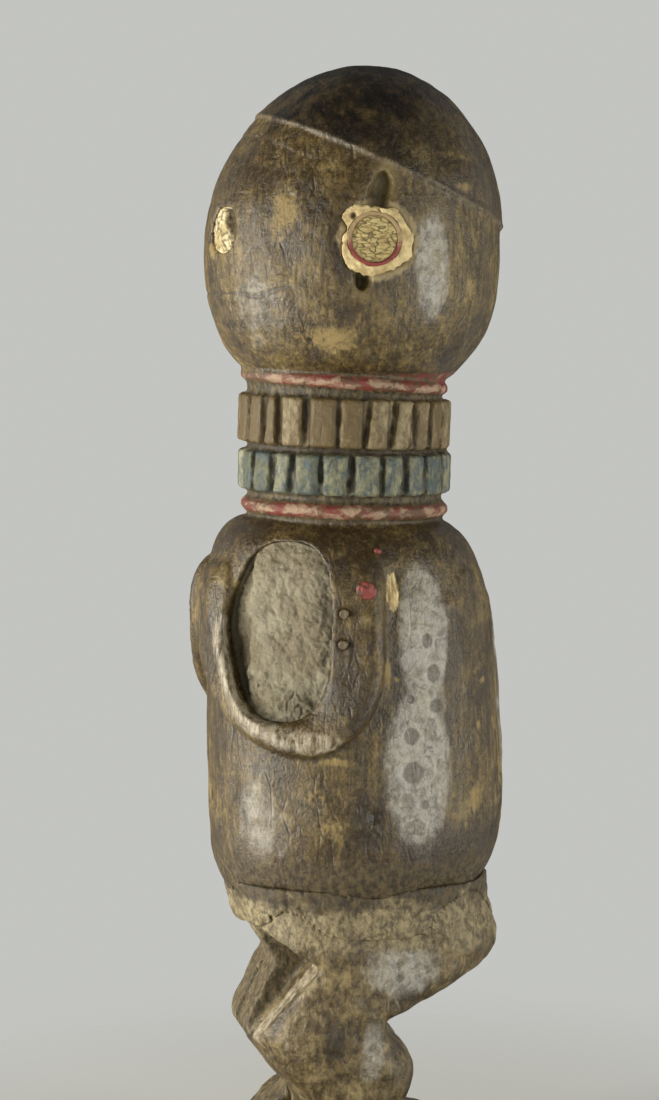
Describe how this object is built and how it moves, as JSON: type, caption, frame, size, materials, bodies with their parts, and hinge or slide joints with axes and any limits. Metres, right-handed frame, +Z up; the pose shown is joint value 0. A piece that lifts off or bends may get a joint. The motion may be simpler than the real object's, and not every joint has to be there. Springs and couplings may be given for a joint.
{
  "type": "fertility doll",
  "caption": "Carved wooden standing doll with an egg-shaped head, inlaid eyes and ears, a tabbed collar, hands on the chest, flexed legs and a round base.",
  "frame": {"origin": "centre of the round base's underside", "axes": "+Z up through the head, -Y the way the doll faces, +X the doll's own left"},
  "size_m": [0.076, 0.0787, 0.2843],
  "materials": {
    "carved_wood": "hand-polished dark patina with worn ochre edges",
    "eye_putty": "matte, cracked",
    "ear_putty": "matte, pitted",
    "ear_disc": "matte, wrinkled",
    "red_wax": "dull wax",
    "grey_clay": "dry, cracked",
    "pale_wood": "bare, greyed",
    "resin_crust": "dull crust"
  },
  "bodies": {
    "root": {"carved_figure": "carved_wood", "left_eye_plug": "eye_putty", "right_eye_plug": "eye_putty", "left_ear_putty": "ear_putty", "right_ear_putty": "ear_putty", "left_ear_wax_ring": "red_wax", "right_ear_wax_ring": "red_wax", "left_ear_disc": "ear_disc", "right_ear_disc": "ear_disc", "left_arm_clay": "grey_clay", "right_arm_clay": "grey_clay", "left_arm_pegs": "pale_wood", "left_arm_wax_dabs": "red_wax", "waist_crust": "resin_crust"}
  },
  "joints": []
}
